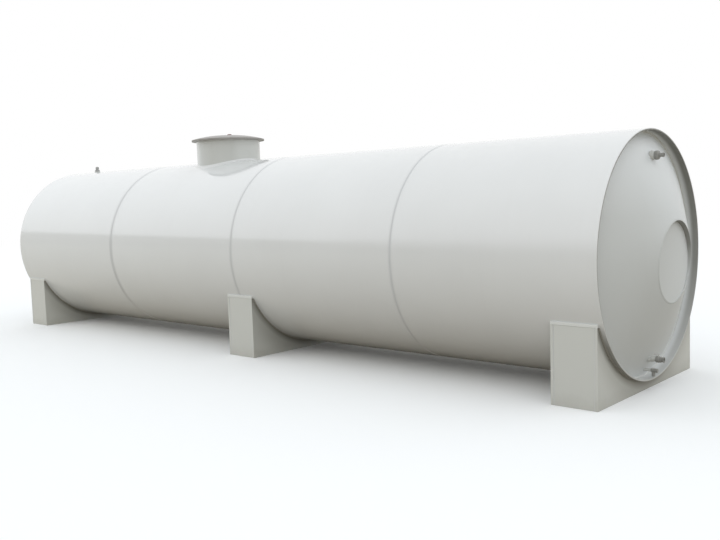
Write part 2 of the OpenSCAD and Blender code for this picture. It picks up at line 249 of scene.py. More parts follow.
class Recipe:
    """A geometry-nodes tree with named sizes, which makes plain meshes."""

    def __init__(self, name, **sizes):
        self.tree = bpy.data.node_groups.new(name, "GeometryNodeTree")
        self.tree.is_modifier = True
        sockets = self.tree.interface
        sockets.new_socket("Geometry", in_out="INPUT", socket_type="NodeSocketGeometry")
        sockets.new_socket("Geometry", in_out="OUTPUT", socket_type="NodeSocketGeometry")
        self.ids = {}
        for label, value in sizes.items():
            kind = "Int" if isinstance(value, int) else "Float"
            socket = sockets.new_socket(label, in_out="INPUT", socket_type="NodeSocket" + kind)
            socket.default_value = value
            self.ids[label] = socket.identifier
        finish = sockets.new_socket("finish", in_out="INPUT", socket_type="NodeSocketMaterial")
        self.ids["finish"] = finish.identifier
        self.given = self.tree.nodes.new("NodeGroupInput").outputs

    def add(self, kind, **values):
        return shader_node(self.tree, "GeometryNode" + kind, **values)

    def sum(self, operation, a, b=0.0, c=0.0):
        return shader_node(self.tree, "ShaderNodeMath", operation=operation, i0=a, i1=b, i2=c).outputs[0]

    def point(self, x=0.0, y=0.0, z=0.0):
        return shader_node(self.tree, "ShaderNodeCombineXYZ", X=x, Y=y, Z=z).outputs[0]

    def ripple(self, along, pitch, depth):
        """How wide a hand-laid bead is at a distance along it: 1 less a small wave."""
        wave = self.sum("SINE", self.sum("MULTIPLY", self.sum("DIVIDE", along, pitch), 2 * math.pi))
        return self.sum("SUBTRACT", 1.0, self.sum("MULTIPLY", self.sum("ADD", wave, 1.0), depth))

    def close(self, geometry):
        smooth = self.add("SetShadeSmooth", Geometry=geometry).outputs[0]
        real = self.add("RealizeInstances", Geometry=smooth).outputs[0]
        done = self.add("SetMaterial", Geometry=real, Material=self.given["finish"])
        shader_node(self.tree, "NodeGroupOutput", Geometry=done.outputs[0])

    def make(self, name, finish, start=None, even_normals=False, **sizes):
        piece = bpy.data.objects.new(name, start or bpy.data.meshes.new(name))
        scene.collection.objects.link(piece)
        modifier = piece.modifiers.new("recipe", "NODES")
        modifier.node_group = self.tree
        for label, value in dict(sizes, finish=finish).items():
            modifier[self.ids[label]] = value
        if even_normals:
            piece.modifiers.new("even", "WEIGHTED_NORMAL").keep_sharp = True
        view = bpy.context.evaluated_depsgraph_get()
        mesh = bpy.data.meshes.new_from_object(piece.evaluated_get(view), depsgraph=view)
        piece.modifiers.clear()
        piece.data = mesh
        mesh.name = name
        return piece


def hand_in(piece, slot, *nodes):
    """The piece rides on the tank and stands for CAD nodes, which it hides. Its slot is not used."""
    if nodes:
        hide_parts(*nodes)
    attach(piece, "root")


def sheet_plastic(name, tone, dullness=0.36, polish=0.8, haze=0.11, grime=0.0, streaks=0.5, swell=0.001,
                  painted_light=(), seams=(), painted_lip_shade=False, cradle_shade_and_dirt=0.0, painted_underside_shade=0.0):
    """Satin polypropylene sheet: cloudy tone, painted light along an axis where it is asked for,
    faint run-down streaks, splashes, thin dust, dirt beside seams, painted shade in corners and on
    undersides where it is asked for, and a scuffed gloss."""
    material = bpy.data.materials.new(name)
    material.use_nodes = True
    tree = material.node_tree
    body = tree.nodes["Principled BSDF"]

    def colours(amount, a, b):
        a = a if isinstance(a, bpy.types.NodeSocket) else (*a, 1.0)
        b = b if isinstance(b, bpy.types.NodeSocket) else (*b, 1.0)
        return shader_node(tree, "ShaderNodeMix", data_type="RGBA", i0=amount, i6=a, i7=b).outputs[2]

    def ranged(value, low, high, to_low, to_high, curve="LINEAR"):
        return shader_node(tree, "ShaderNodeMapRange", interpolation_type=curve, Value=value,
                           From_Min=low, From_Max=high, To_Min=to_low, To_Max=to_high).outputs[0]

    def sums(operation, a, b, c=0.0):
        return shader_node(tree, "ShaderNodeMath", operation=operation, i0=a, i1=b, i2=c).outputs[0]

    def noise(place, size, detail, rough=0.5):
        return shader_node(tree, "ShaderNodeTexNoise", Vector=place, Scale=size, Detail=detail,
                           Roughness=rough).outputs[0]

    place = shader_node(tree, "ShaderNodeTexCoord").outputs["Object"]
    spot = shader_node(tree, "ShaderNodeSeparateXYZ", Vector=place).outputs
    facing = shader_node(tree, "ShaderNodeNewGeometry").outputs["Normal"]
    facings = shader_node(tree, "ShaderNodeSeparateXYZ", Vector=facing).outputs
    upward = facings["Z"]
    cloud = noise(place, 1.1, 3.0)
    fine = noise(place, 9.0, 5.0, 0.62)
    down = shader_node(tree, "ShaderNodeMapping", Vector=place, Scale=(11.0, 3.0, 0.55)).outputs[0]
    runs = noise(down, 1.6, 4.0, 0.6)

    skin = colours(ranged(cloud, 0.3, 0.7, 0.0, 1.0), [c * 0.975 for c in tone], [c * 1.02 for c in tone])
    # Painted light: the colour goes paler and cooler along an axis, towards where the surface should look
    # more brightly lit.
    for axis, start, stop, amount in painted_light:
        skin = colours(ranged(spot[axis], start, stop, 0.0, amount), skin, painted_light_tone)
    skin = colours(ranged(runs, 0.52, 0.80, 0.0, 0.14 * streaks), skin, run_tone)
    ragged = sums("MULTIPLY_ADD", fine, 0.16, -0.08)
    splash = ranged(sums("ADD", spot["Z"], ragged), 0.0, splash_height, grime, 0.0, "SMOOTHSTEP")
    skin = colours(splash, skin, splash_tone)
    settled = sums("MULTIPLY", ranged(upward, 0.55, 1.0, 0.0, 0.10), fine)
    skin = colours(settled, skin, dust_tone)
    rise = sums("SUBTRACT", spot["Z"], axis_z)
    across = sums("SQRT", sums("ADD", sums("MULTIPLY", spot["Y"], spot["Y"]),
                               sums("MULTIPLY", rise, rise)), 0.0)
    # Painted contact shade, together with dirt: darker on end-facing faces close to the shell.
    if cradle_shade_and_dirt:
        wide = ranged(across, shell_radius, shell_radius + 0.26, 0.45 * cradle_shade_and_dirt, 0.0, "SMOOTHSTEP")
        close = ranged(across, shell_radius + 0.004, shell_radius + 0.07, 0.7 * cradle_shade_and_dirt, 0.0)
        dirt_and_shade = sums("MULTIPLY", sums("ADD", wide, close), sums("ABSOLUTE", facings["X"], 0.0))
        skin = colours(dirt_and_shade, skin, cradle_shade_and_dirt_tone)
    gloss = polish
    for seam, reach, dirt in seams:
        off = sums("ABSOLUTE", sums("SUBTRACT", spot["X"], seam), 0.0)
        dirt_and_shade = sums("MULTIPLY", ranged(off, 0.008, reach, dirt, 0.0), ranged(rise, 0.2, 0.1, 1.0, 1.5))
        skin = colours(dirt_and_shade, skin, seam_dirt)
        gloss = sums("MULTIPLY", ranged(off, 0.008, reach, 0.45, 1.0), gloss)
    # Painted shade inside the lip past each end, darkest high up where the lip's inside faces down, with
    # less gloss there.
    if painted_lip_shade:
        from_middle = sums("ABSOLUTE", spot["X"], 0.0)
        out = ranged(from_middle, lip_start + 0.018, lip_start + 0.068, 0.0, 1.0, "SMOOTHSTEP")
        inside = ranged(across, bore_radius + 0.005, bore_radius + 0.014, 1.0, 0.0)
        high = sums("ADD", ranged(rise, -0.9, -0.1, 0.36, 0.77), ranged(rise, 0.0, 0.95, 0.0, 0.2))
        dirt_and_shade = sums("MULTIPLY", sums("MULTIPLY", out, inside), high)
        skin = colours(dirt_and_shade, skin, lip_shade_tone)
        gloss = sums("MULTIPLY", ranged(dirt_and_shade, 0.0, 0.6, 1.0, 0.1), gloss)
        # Painted shadow on the shell's outside, low down above the end saddles and under the lip.
        above_saddle = ranged(from_middle, saddle_face - 0.012, saddle_face + 0.004, 0.0, 0.72)
        low_down = ranged(rise, -0.42, -0.62, 0.0, 1.0)
        outside = ranged(across, shell_radius - 0.006, shell_radius - 0.002, 0.0, 1.0)
        dirt_and_shade = sums("MULTIPLY", sums("MULTIPLY", above_saddle, outside), low_down)
        skin = colours(dirt_and_shade, skin, saddle_top_shade_tone)
    # Painted shade: darker on faces that turn downward, and less on faces towards the ends.
    if painted_underside_shade:
        sideways = sums("MULTIPLY_ADD", sums("ABSOLUTE", facings["X"], 0.0), -1.0, 1.0)
        dirt_and_shade = sums("MULTIPLY", ranged(upward, 0.4, -0.4, 0.0, painted_underside_shade), sideways)
        skin = colours(dirt_and_shade, skin, underside_shade_tone)
    tree.links.new(skin, body.inputs["Base Color"])
    scuff = ranged(fine, 0.3, 0.7, dullness - 0.04, dullness + 0.05)
    tree.links.new(sums("MULTIPLY_ADD", splash, 0.3, scuff), body.inputs["Roughness"])
    body.inputs["IOR"].default_value = 1.49
    if seams or painted_lip_shade:
        tree.links.new(gloss, body.inputs["Coat Weight"])
    else:
        body.inputs["Coat Weight"].default_value = polish
    body.inputs["Coat Roughness"].default_value = haze
    body.inputs["Coat IOR"].default_value = polish_index
    grain = shader_node(tree, "ShaderNodeBump", Strength=0.2, Distance=0.0002,
                        Height=noise(place, 150.0, 2.0))
    if swell:
        grain = shader_node(tree, "ShaderNodeBump", Strength=1.0, Distance=swell,
                            Height=noise(place, 1.7, 1.0), Normal=grain.outputs[0])
    tree.links.new(grain.outputs[0], body.inputs["Normal"])
    return material


lip_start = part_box("near_end_cone")[0].x + sheet
saddle_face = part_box("near_saddle_outer_side")[1].x
dirty_seams = [(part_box(f"shell_course_{n}")[1].x, reach, dirt)
               for n, reach, dirt in ((1, 0.048, 0.42), (2, 0.034, 0.26), (3, 0.028, 0.20))]
# The shell's colour is painted paler towards the far end as painted light, with painted shade inside the lip
# and above the end saddles.
shell_plastic = sheet_plastic("shell_plastic", shell_tone, polish=1.0, streaks=0.12,
                              painted_light=[("X", 3.0, -4.0, 0.5)], seams=dirty_seams, painted_lip_shade=True)

course = Recipe("sheet_course", middle=0.0, length=2.0, radius=1.0, thickness=0.015,
                far_cut=0.009, near_cut=0.009, edge=0.003, steps=400,
                hole_x=0.0, hole_radius=0.0)
size = course.given
ring = course.add("CurvePrimitiveCircle", Resolution=size["steps"],
                  Radius=course.sum("MULTIPLY_ADD", size["thickness"], -0.5, size["radius"]))
ring = course.add("Transform", Geometry=ring.outputs[0], Rotation=(0.0, math.pi / 2, 0.0))
section = course.add("CurvePrimitiveQuadrilateral", Width=size["length"], Height=size["thickness"])
corner = shader_node(course.tree, "ShaderNodeSeparateXYZ", Vector=course.add("InputPosition").outputs[0])
near_side = course.sum("GREATER_THAN", corner.outputs["X"])
outside = course.sum("GREATER_THAN", corner.outputs["Y"])
cut = shader_node(course.tree, "ShaderNodeMix", i0=near_side, i2=size["far_cut"],
                  i3=size["near_cut"]).outputs[0]
corner_round = shader_node(course.tree, "ShaderNodeMix", i0=outside, i2=size["edge"], i3=cut).outputs[0]
section = course.add("FilletCurve", mode="POLY", Curve=section.outputs[0], Count=5, Radius=corner_round)
swept = course.add("CurveToMesh", Curve=ring.outputs[0], Profile_Curve=section.outputs[0])
placed = course.add("Transform", Geometry=swept.outputs[0],
                    Translation=course.point(size["middle"], 0.0, axis_z))
cutter = course.add("MeshCylinder", Vertices=160, Radius=size["hole_radius"], Depth=1.0)
cutter = course.add("Transform", Geometry=cutter.outputs[0],
                    Translation=course.point(size["hole_x"], 0.0, axis_z + shell_radius))
holed = course.add("MeshBoolean", operation="DIFFERENCE", solver="EXACT", Mesh_1=placed.outputs[0],
                   Mesh_2=cutter.outputs[0])
choice = course.add("Switch", input_type="GEOMETRY", Switch=course.sum("GREATER_THAN", size["hole_radius"]),
                    **{"False": placed.outputs[0], "True": holed.outputs["Mesh"]})
course.close(choice.outputs[0])

for number in (1, 2, 3, 4):
    low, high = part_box(f"shell_course_{number}")
    sizes = dict(middle=(low.x + high.x) / 2, length=high.x - low.x, radius=shell_radius,
                 thickness=sheet, edge=edge_round / 2, steps=round_steps,
                 far_cut=edge_round if number == 1 else weld_cut,
                 near_cut=edge_round if number == 4 else weld_cut)
    if number == 2:
        sizes.update(hole_x=neck_x, hole_radius=neck_radius)
    piece = course.make(f"course_{number}_sheet", shell_plastic, even_normals=True, **sizes)
    hand_in(piece, "shell_sheet", f"shell_course_{number}")

# ---------------------------------------------------------------------------
# Each pair of courses is joined by an extrusion weld: a ribbed bead of the same plastic
# laid in the cut between them and dressed level with the shell.
bead_tone = (0.60, 0.608, 0.613)
shell_bead_width = 0.026
shell_bead_height = 0.012
shell_bead_sink = 0.0002

bead_plastic = sheet_plastic("bead_plastic", bead_tone, dullness=0.5, polish=0.1, streaks=0.3, swell=0.0)
pale_bead_tone = (0.62, 0.625, 0.60)
pale_bead_plastic = sheet_plastic("pale_bead_plastic", pale_bead_tone, dullness=0.42, polish=0.3, swell=0.0)

ring_bead = Recipe("ring_bead", middle=0.0, height_above_floor=1.0, radius=1.0, width=0.014,
                   height=0.008, ripple=0.05, ripple_pitch=0.012, steps=900)
size = ring_bead.given
path = ring_bead.add("CurvePrimitiveCircle", Resolution=size["steps"], Radius=size["radius"])
path = ring_bead.add("Transform", Geometry=path.outputs[0], Rotation=(0.0, math.pi / 2, 0.0))
bead = ring_bead.add("CurvePrimitiveCircle", Resolution=12, Radius=0.5)
bead = ring_bead.add("Transform", Geometry=bead.outputs[0],
                     Scale=ring_bead.point(size["width"], size["height"], 1.0))
along = ring_bead.add("SplineParameter").outputs["Length"]
swept = ring_bead.add("CurveToMesh", Curve=path.outputs[0], Profile_Curve=bead.outputs[0],
                      Scale=ring_bead.ripple(along, size["ripple_pitch"], size["ripple"]))
placed = ring_bead.add("Transform", Geometry=swept.outputs[0],
                       Translation=ring_bead.point(size["middle"], 0.0, size["height_above_floor"]))
ring_bead.close(placed.outputs[0])

for number in (1, 2, 3):
    piece = ring_bead.make(f"shell_weld_{number}", bead_plastic,
                           middle=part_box(f"shell_course_{number}")[1].x,
                           height_above_floor=axis_z,
                           radius=shell_radius - shell_bead_height / 2 - shell_bead_sink,
                           width=shell_bead_width, height=shell_bead_height)
    hand_in(piece, "shell_sheet")

# ---------------------------------------------------------------------------
# Each end is a shallow outward cone of sheet set back inside the shell, with a round
# pocket in it: a short collar closed by a flat disc. All edges are scraped round, and the
# cone is welded to the shell from outside. Shade is painted on the undersides in the pocket,
# and the cone and disc are painted paler and cooler towards the top and towards +Y as painted light.
end_tone = (0.595, 0.61, 0.60)
end_bead_width = 0.018
end_edge = 0.002
collar_edge = 0.003

# Painted light: the cone and disc go paler and cooler towards +Y and towards the top.
end_plastic = sheet_plastic("end_plastic", end_tone, dullness=0.55, polish=0.35, haze=0.42, streaks=0.3,
                            painted_light=[("Y", -0.35, 0.85, 0.72), ("Z", 1.4, 2.0, 0.6)])
# The collar gets painted shade on its undersides.
collar_plastic = sheet_plastic("collar_plastic", end_tone, dullness=0.55, polish=0.2, haze=0.42,
                               painted_underside_shade=0.68)


def eased(node, name, finish, width, steps=3):
    """A copy of a cut sheet, with its loose triangles joined and its edges scraped round."""
    shape = bmesh.new()
    shape.from_mesh(frame["nodes"][node].data)
    bmesh.ops.remove_doubles(shape, verts=shape.verts, dist=1e-5)
    bmesh.ops.dissolve_limit(shape, angle_limit=math.radians(0.2), verts=shape.verts, edges=shape.edges)
    for face in shape.faces:
        face.smooth = True
        face.material_index = 0
    mesh = bpy.data.meshes.new(name)
    shape.to_mesh(mesh)
    shape.free()
    mesh.materials.append(finish)
    piece = bpy.data.objects.new(name, mesh)
    scene.collection.objects.link(piece)
    bevel = piece.modifiers.new("ease", "BEVEL")
    bevel.limit_method = "ANGLE"
    bevel.angle_limit = math.radians(30)
    bevel.width = width
    bevel.segments = steps
    bevel.use_clamp_overlap = True
    piece.modifiers.new("even", "WEIGHTED_NORMAL").keep_sharp = True
    view = bpy.context.evaluated_depsgraph_get()
    piece.data = bpy.data.meshes.new_from_object(piece.evaluated_get(view), depsgraph=view)
    piece.modifiers.clear()
    return piece


collar_low, collar_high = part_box("near_end_collar")
collar_z = (collar_low.z + collar_high.z) / 2
collar_radius = (collar_high.z - collar_low.z) / 2
cone_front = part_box("near_end_cone")[1].x
cone_slope = (cone_front - lip_start) / (bore_radius - (collar_radius - abs(axis_z - collar_z)))
for end, way in (("near", 1.0), ("far", -1.0)):
    for part, finish, edge in (("cone", end_plastic, end_edge), ("collar", collar_plastic, collar_edge),
                               ("disc", end_plastic, end_edge)):
        node = f"{end}_end_{part}"
        hand_in(eased(node, f"{end}_{part}_sheet", finish, edge), "end_sheet", node)
    piece = ring_bead.make(f"{end}_cone_weld", pale_bead_plastic, middle=way * (lip_start + 0.003),
                           height_above_floor=axis_z, radius=bore_radius - 0.003,
                           width=end_bead_width, height=end_bead_width)
    hand_in(piece, "end_sheet")

# ---------------------------------------------------------------------------
# Three box saddles carry the shell. Each has two upright side sheets cut to its curve, a front
# and a back sheet let in between them, a base sheet, and narrow strips that close the top.
# The corners are welded. Dirt has splashed the feet. Painted contact shade, together with
# dirt, darkens the side sheets near the shell, and the cradle welds are painted dark as painted shade.
saddle_tone = (0.625, 0.635, 0.605)
strip_tone = (0.72, 0.73, 0.71)
# Painted shade: the cradle welds get a dark tone that stands for the shadow they lie in.
painted_shade_bead_tone = (0.29, 0.28, 0.245)
# The saddle sheets get painted contact shade, together with dirt, near the shell on their end-facing sides.
saddle_plastic = sheet_plastic("saddle_plastic", saddle_tone, polish=0.8, haze=0.2, grime=0.16,
                               streaks=0.4, swell=0.0008, cradle_shade_and_dirt=0.8)
# This finish is painted shade for the cradle welds.
painted_shade_bead_plastic = sheet_plastic("painted_shade_bead_plastic", painted_shade_bead_tone, dullness=0.5, polish=0.1,
                                   swell=0.0)
strip_plastic = sheet_plastic("strip_plastic", strip_tone, polish=0.6, haze=0.2, streaks=0.4, swell=0.0)
saddle_edge = 0.0025
cradle_bead = 0.014
cradle_ripple = 0.014
corner_bead = 0.0056

run_bead = Recipe("run_bead", width=0.010, ripple=0.06, ripple_pitch=0.010)
size = run_bead.given
path = run_bead.add("MeshToCurve", Mesh=size["Geometry"])
path = run_bead.add("ResampleCurve", mode="LENGTH", Curve=path.outputs[0],
                    Length=run_bead.sum("MULTIPLY", size["ripple_pitch"], 0.3))
bead = run_bead.add("CurvePrimitiveCircle", Resolution=8,
                    Radius=run_bead.sum("MULTIPLY", size["width"], 0.5))
along = run_bead.add("SplineParameter").outputs["Length"]
swept = run_bead.add("CurveToMesh", Curve=path.outputs[0], Profile_Curve=bead.outputs[0],
                     Fill_Caps=True, Scale=run_bead.ripple(along, size["ripple_pitch"], size["ripple"]))
run_bead.close(swept.outputs[0])


def laid_bead(name, finish, slot, width, runs, closed=False, pitch=0.010):
    """Beads of weld along runs of points."""
    points, edges = [], []
    for run in runs:
        first = len(points)
        points += [tuple(p) for p in run]
        edges += [(i, i + 1) for i in range(first, len(points) - 1)]
        if closed:
            edges.append((len(points) - 1, first))
    start = bpy.data.meshes.new(name)
    start.from_pydata(points, edges, [])
    hand_in(run_bead.make(name, finish, start=start, width=width, ripple_pitch=pitch), slot)


for place in ("near", "middle", "far"):
    for part in ("outer_side", "inner_side", "front", "back", "base", "strips"):
        node = f"{place}_saddle_{part}"
        finish = strip_plastic if part == "strips" else saddle_plastic
        hand_in(eased(node, f"{node}_sheet", finish, saddle_edge), "saddle_sheet", node)
    sides = [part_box(f"{place}_saddle_{side}_side") for side in ("outer", "inner")]
    face_low = min(low.x for low, high in sides)
    face_high = max(high.x for low, high in sides)
    top = sides[0][1].z
    reach = math.acos((axis_z - top) / shell_radius)
    runs = []
    for face, way in ((face_low, -1.0), (face_high, 1.0)):
        turns = [reach * (i / 60 - 1.0) for i in range(121)]
        runs.append([(face + way * cradle_bead * 0.1, (shell_radius + 0.001) * math.sin(t),
                      axis_z - (shell_radius + 0.001) * math.cos(t)) for t in turns])
    # The cradle welds carry painted shade.
    laid_bead(f"{place}_cradle_weld", painted_shade_bead_plastic, "saddle_sheet", cradle_bead, runs,
              pitch=cradle_ripple)
    front_low, front_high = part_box(f"{place}_saddle_front")
    back_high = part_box(f"{place}_saddle_back")[1]
    runs = []
    for x in (front_low.x + 0.001, front_high.x - 0.001):
        for y in (front_low.y + 0.0005, back_high.y - 0.0005):
            runs.append([(x, y, front_low.z + 0.006 + (front_high.z - front_low.z - 0.008) * i / 20)
                         for i in range(21)])
    laid_bead(f"{place}_corner_weld", bead_plastic, "saddle_sheet", corner_bead, runs)

# ---------------------------------------------------------------------------
# The manhole is a short neck of rolled sheet standing in the shell, with a broad hollow
# weld round its foot. A flat flange of darker sheet is welded round its top.
neck_tone = (0.56, 0.57, 0.545)
lid_tone = (0.335, 0.318, 0.30)
fillet_tone = (0.70, 0.71, 0.705)
neck_fillet = 0.024
fillet_steps = 240
fillet_ripples = 80
fillet_ripple = 0.02
neck_top_bead = 0.010

# Painted light: the neck goes paler towards the far end.
neck_plastic = sheet_plastic("neck_plastic", neck_tone, polish=0.6, streaks=0.6, swell=0.0006,
                             painted_light=[("X", neck_x + 0.12, neck_x - 0.2, 0.6)])
fillet_plastic = sheet_plastic("fillet_plastic", fillet_tone, polish=0.8, streaks=0.2, swell=0.0)
lid_plastic = sheet_plastic("lid_plastic", lid_tone, dullness=0.45, polish=0.15, haze=0.3, streaks=0.3,
                            swell=0.0005)

hand_in(eased("manhole_neck", "manhole_neck_sheet", neck_plastic, 0.002), "manhole_sheet", "manhole_neck")
hand_in(eased("manhole_flange", "manhole_flange_ring", lid_plastic, 0.003, 4), "manhole_sheet",
        "manhole_flange")


def shell_top(y):
    """Height of the shell's outside at this distance across the tank."""
    return axis_z + math.sqrt(shell_radius ** 2 - y ** 2)


def beside_neck(turn, out, rise):
    """A point this far out from the neck, at a turn round it, and this far above the shell."""
    x, y = neck_x + math.cos(turn) * (neck_radius + out), math.sin(turn) * (neck_radius + out)
    return Vector((x, y, shell_top(y) + rise))


turns = [2 * math.pi * i / fillet_steps for i in range(fillet_steps)]
shape = bmesh.new()
loops = []
for t in turns:
    leg = neck_fillet * (1 + fillet_ripple * math.sin(fillet_ripples * t))
    wall, bed = beside_neck(t, 0, leg), beside_neck(t, leg, 0)
    hollow = beside_neck(t, leg * 0.16, leg * 0.16)
    arc = [wall * (1 - u) ** 2 + hollow * 2 * u * (1 - u) + bed * u ** 2 for u in (i / 8 for i in range(9))]
    sunk = [beside_neck(t, *spot) for spot in ((leg, -0.003), (-0.003, 0), (-0.003, leg))]
    loops.append([shape.verts.new(p) for p in arc + sunk])
for one, two in zip(loops, loops[1:] + loops[:1]):
    for i in range(len(one)):
        j = (i + 1) % len(one)
        shape.faces.new((one[i], two[i], two[j], one[j]))
for face in shape.faces:
    face.smooth = True
bmesh.ops.recalc_face_normals(shape, faces=shape.faces)
mesh = bpy.data.meshes.new("neck_foot_weld")
shape.to_mesh(mesh)
shape.free()
mesh.materials.append(fillet_plastic)
piece = bpy.data.objects.new("neck_foot_weld", mesh)
scene.collection.objects.link(piece)
hand_in(piece, "manhole_sheet")
bead_radius = neck_radius + 0.002
bead_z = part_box("manhole_flange")[0].z - 0.002
laid_bead("neck_top_weld", pale_bead_plastic, "manhole_sheet", neck_top_bead,
          [[(neck_x + bead_radius * math.cos(t), bead_radius * math.sin(t), bead_z) for t in turns]],
          closed=True)

# ---------------------------------------------------------------------------
# The lid is moulded, flat below and crowned above from its rim inwards, with a flat pad in the
# middle. It lies loose on the flange and is lifted by a low turned knob of dark red plastic.
lid_rim = 0.008
lid_edge = 0.003
lid_pad_edge = 0.020
crown_rings = 14
knob_tone = (0.16, 0.045, 0.04)
knob_edge = 0.004
moulding_dust = (0.46, 0.44, 0.39)


def moulded_plastic(name, tone, dullness=0.45, speck=0.25):
    """Moulded fitting plastic: an even dark or pale tone, worn paler on its edges and dusty on top."""
    material = bpy.data.materials.new(name)
    material.use_nodes = True
    tree = material.node_tree
    body = tree.nodes["Principled BSDF"]
    place = shader_node(tree, "ShaderNodeTexCoord").outputs["Object"]
    mottle = shader_node(tree, "ShaderNodeTexNoise", Vector=place, Scale=70.0, Detail=4.0).outputs[0]
    facing = shader_node(tree, "ShaderNodeNewGeometry")
    upward = shader_node(tree, "ShaderNodeSeparateXYZ", Vector=facing.outputs["Normal"]).outputs["Z"]
    dusty = shader_node(tree, "ShaderNodeMapRange", Value=upward, From_Min=0.2, From_Max=1.0,
                        To_Min=0.02, To_Max=speck).outputs[0]
    dusty = shader_node(tree, "ShaderNodeMath", operation="MULTIPLY", i0=dusty, i1=mottle).outputs[0]
    worn = shader_node(tree, "ShaderNodeMapRange", Value=facing.outputs["Pointiness"], From_Min=0.52,
                       From_Max=0.62, To_Min=0.0, To_Max=0.25).outputs[0]
    shade = shader_node(tree, "ShaderNodeMix", data_type="RGBA", i0=mottle,
                        i6=(*[c * 0.85 for c in tone], 1.0), i7=(*[min(c * 1.15, 1.0) for c in tone], 1.0))
    edge = shader_node(tree, "ShaderNodeMix", data_type="RGBA", i0=worn, i6=shade.outputs[2],
                       i7=(*[0.5 * c + 0.22 for c in tone], 1.0))
    skin = shader_node(tree, "ShaderNodeMix", data_type="RGBA", i0=dusty, i6=edge.outputs[2],
                       i7=(*moulding_dust, 1.0))
    tree.links.new(skin.outputs[2], body.inputs["Base Color"])
    rough = shader_node(tree, "ShaderNodeMapRange", Value=mottle, From_Min=0.3, From_Max=0.7,
                        To_Min=dullness - 0.06, To_Max=dullness + 0.08).outputs[0]
    tree.links.new(rough, body.inputs["Roughness"])
    grain = shader_node(tree, "ShaderNodeTexNoise", Vector=place, Scale=420.0, Detail=2.0).outputs[0]
    bump = shader_node(tree, "ShaderNodeBump", Strength=0.3, Distance=0.0002, Height=grain)
    tree.links.new(bump.outputs[0], body.inputs["Normal"])
    return material


def turned(name, finish, middle, along, profile, steps=64, ring=False):
    """A lathe piece: (distance, radius) pairs turned about an axis, closed at its poles."""
    side = Vector((0, 1, 0))
    up = along.cross(side)
    shape = bmesh.new()
    loops = []
    for distance, radius in profile:
        if radius < 1e-6:
            loops.append([shape.verts.new(middle + along * distance)])
            continue
        loops.append([shape.verts.new(middle + along * distance
                                      + (side * math.cos(a) + up * math.sin(a)) * radius)
                      for a in (2 * math.pi * i / steps for i in range(steps))])
    pairs = list(zip(loops, loops[1:])) + ([(loops[-1], loops[0])] if ring else [])
    for one, two in pairs:
        for i in range(steps):
            j = (i + 1) % steps
            if len(one) == 1:
                shape.faces.new((one[0], two[j], two[i]))
            elif len(two) == 1:
                shape.faces.new((one[i], one[j], two[0]))
            else:
                shape.faces.new((one[i], one[j], two[j], two[i]))
    for face in shape.faces:
        face.smooth = True
    if shape.calc_volume(signed=True) < 0:
        bmesh.ops.reverse_faces(shape, faces=shape.faces)
    mesh = bpy.data.meshes.new(name)
    shape.to_mesh(mesh)
    shape.free()
    mesh.materials.append(finish)
    mesh.set_sharp_from_angle(angle=math.radians(38))
    piece = bpy.data.objects.new(name, mesh)
    scene.collection.objects.link(piece)
    return piece


def softened(profile, radius, steps=3, ring=False):
    """The same profile with its corners rounded."""
    count = len(profile)
    result = []
    for i, here in enumerate(profile):
        here = Vector(here)
        if not ring and i in (0, count - 1):
            result.append(tuple(here))
            continue
        back = Vector(profile[i - 1]) - here
        on = Vector(profile[(i + 1) % count]) - here
        reach = min(radius, back.length * 0.45, on.length * 0.45)
        start, end = here + back.normalized() * reach, here + on.normalized() * reach
        for s in range(steps + 1):
            t = s / steps
            result.append(tuple(start * (1 - t) ** 2 + here * 2 * t * (1 - t) + end * t ** 2))
    return result


knob_low, knob_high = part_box("manhole_knob")
knob_middle = Vector(((knob_low.x + knob_high.x) / 2, 0, knob_low.z))
up = Vector((0, 0, 1))
knob_r = (knob_high.x - knob_low.x) / 2
knob_h = knob_high.z - knob_low.z
low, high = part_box("manhole_lid")
r, h = (high.x - low.x) / 2, high.z - low.z
pad = abs(knob_middle.x - neck_x) + knob_r + lid_pad_edge
inwards = [1 - i / crown_rings for i in range(1, crown_rings + 1)]
crown = [(lid_rim + (h - lid_rim) * (1 - t ** 2), pad + (r - pad) * t) for t in inwards]
rim = softened([(0, 0), (0, r), (lid_rim, r), crown[0]], lid_edge, 4)
profile = rim[:-1] + crown + [(h, 0)]
piece = turned("manhole_lid_crown", lid_plastic, Vector((neck_x, 0, low.z)), up, profile, steps=160)
hand_in(piece, "manhole_sheet", "manhole_lid")

knob_plastic = moulded_plastic("knob_red_plastic", knob_tone, 0.38, 0.15)
profile = [(0, 0), (0, knob_r * 0.62), (knob_h * 0.2, knob_r * 0.6), (knob_h * 0.27, knob_r * 0.92),
           (knob_h * 0.42, knob_r), (knob_h * 0.68, knob_r * 0.97), (knob_h * 0.9, knob_r * 0.74),
           (knob_h, knob_r * 0.35), (knob_h, 0)]
piece = turned("lid_knob", knob_plastic, knob_middle, up, softened(profile, knob_edge), steps=48)
hand_in(piece, "knob_red", "manhole_knob")

# ---------------------------------------------------------------------------
# The vent stands on top near the far end: a pale pipe in a moulded socket welded to the
# shell, with a grey union collar and a plain round cap.
pale_tone = (0.60, 0.605, 0.58)
vent_tone = (0.36, 0.36, 0.35)

pale_plastic = moulded_plastic("pale_fitting_plastic", pale_tone, 0.42, 0.2)
vent_plastic = moulded_plastic("vent_fitting_plastic", vent_tone, 0.42, 0.3)

